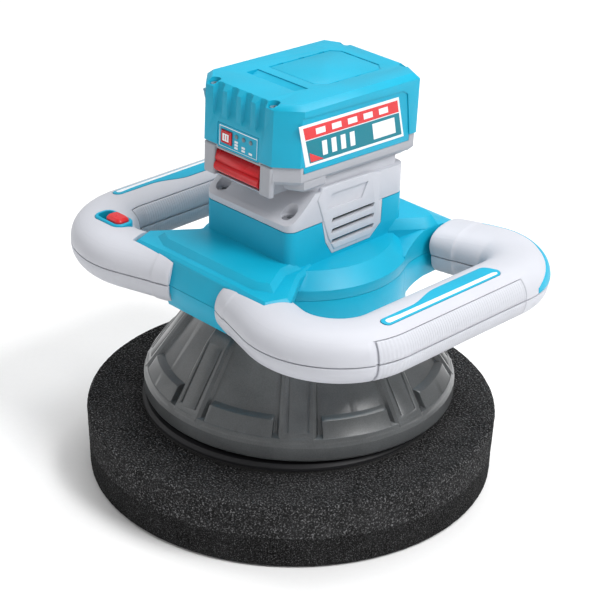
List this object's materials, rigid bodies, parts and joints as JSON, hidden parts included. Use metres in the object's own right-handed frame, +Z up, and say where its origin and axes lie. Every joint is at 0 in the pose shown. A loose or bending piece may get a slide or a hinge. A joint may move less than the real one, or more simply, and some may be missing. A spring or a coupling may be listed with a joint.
{
  "type": "dual action polisher",
  "caption": "Cordless dual action polisher: round foam pad on an eccentric drive under a ribbed dome shroud, looped side handles with a slide switch, and a slide-on battery on top.",
  "frame": {"origin": "centre of the foam pad's lower face, on the surface that the pad stands on, with the drive at rest", "axes": "+Z up along the pad axis; -Y toward the front, where the battery's release button is; +X toward the handle without the switch"},
  "size_m": [0.248, 0.24, 0.2414],
  "materials": {
    "turquoise": "fine satin moulded",
    "grey": "fine satin moulded",
    "grip": "fine ribbed",
    "smoke": "semi-gloss metallic grey",
    "foam_fine": "open cell foam",
    "foam_coarse": "open cell foam",
    "black_plastic": "matte",
    "hook_loop": "hook and loop",
    "steel": "ground",
    "cast": "die cast",
    "iron": "plated",
    "copper": "enamelled copper",
    "gold": "plated",
    "red": "gloss",
    "board": "solder mask",
    "cell": "shrink sleeve",
    "wire_blue": "insulation",
    "label": "printed film"
  },
  "bodies": {
    "housing": {"lower_bearing": "steel", "upper_bearing": "steel", "bearing_bracket": "cast", "bracket_screws": "steel", "motor_stator": "iron", "stator_windings": "copper", "lower_housing": "turquoise", "upper_housing": "turquoise", "dome_shroud": "smoke", "housing_screws": "steel", "head_cover": "grey", "cover_screws": "steel", "left_handle_upper": "grey", "right_handle_upper": "grey", "left_handle_lower": "grey", "right_handle_lower": "grey", "left_grip": "grip", "right_grip": "grip", "left_grip_inlay": "turquoise", "right_grip_inlay": "turquoise", "left_rear_trim": "turquoise", "right_rear_trim": "turquoise", "handle_screws": "steel", "switch_bezel": "turquoise", "switch_body": "black_plastic", "control_board": "board", "heat_sink": "cast", "terminal_block": "black_plastic", "terminal_blades": "gold", "motor_leads": "wire_blue", "switch_leads": "wire_blue", "supply_leads": "red"},
    "drive": {"spindle_bearings": "steel", "eccentric_hub": "cast", "counterweight": "iron", "counterweight_screws": "steel", "motor_shaft": "steel", "cooling_fan": "black_plastic", "rotor_core": "iron", "rotor_magnets": "iron"},
    "pad": {"foam_lower": "foam_fine", "foam_upper": "foam_coarse", "loop_disc": "hook_loop", "backing_plate": "black_plastic", "pad_spindle": "steel", "pad_screw": "steel"},
    "pack": {"pack_upper_case": "turquoise", "pack_lower_case": "grey", "pack_cells": "cell", "pack_board": "board", "pack_contacts": "gold", "fuel_panel": "label", "release_spring": "steel", "pack_label_left": "label", "pack_label_right": "label", "pack_screws": "steel"},
    "switch": {"switch_slider": "red"},
    "gauge_button": {"fuel_button": "red"},
    "release": {"release_button": "red"}
  },
  "joints": [
    {"name": "drive_spin", "type": "hinge", "parent": "housing", "child": "drive", "pos_m": [0, 0.006, 0.1], "axis": [0, 0, 1], "continuous": true},
    {"name": "pad_spin", "type": "hinge", "parent": "drive", "child": "pad", "pos_m": [0, 0, 0.062], "axis": [0, 0, 1], "continuous": true},
    {"name": "switch_slide", "type": "slide", "parent": "housing", "child": "switch", "axis": [-1, 0, 0], "range_m": [0, 0.005]},
    {"name": "pack_slide", "type": "slide", "parent": "housing", "child": "pack", "axis": [0, -0.9995, 0.0332], "range_m": [0, 0.09]},
    {"name": "release_push", "type": "slide", "parent": "pack", "child": "release", "axis": [0, 0.0332, 0.9995], "range_m": [0, 0.003], "stiffness_N_per_m": 900, "deforming": ["release_spring"]},
    {"name": "gauge_press", "type": "slide", "parent": "pack", "child": "gauge_button", "axis": [0, 0.9995, -0.0332], "range_m": [0, 0.0008], "stiffness_N_per_m": 1500}
  ]
}
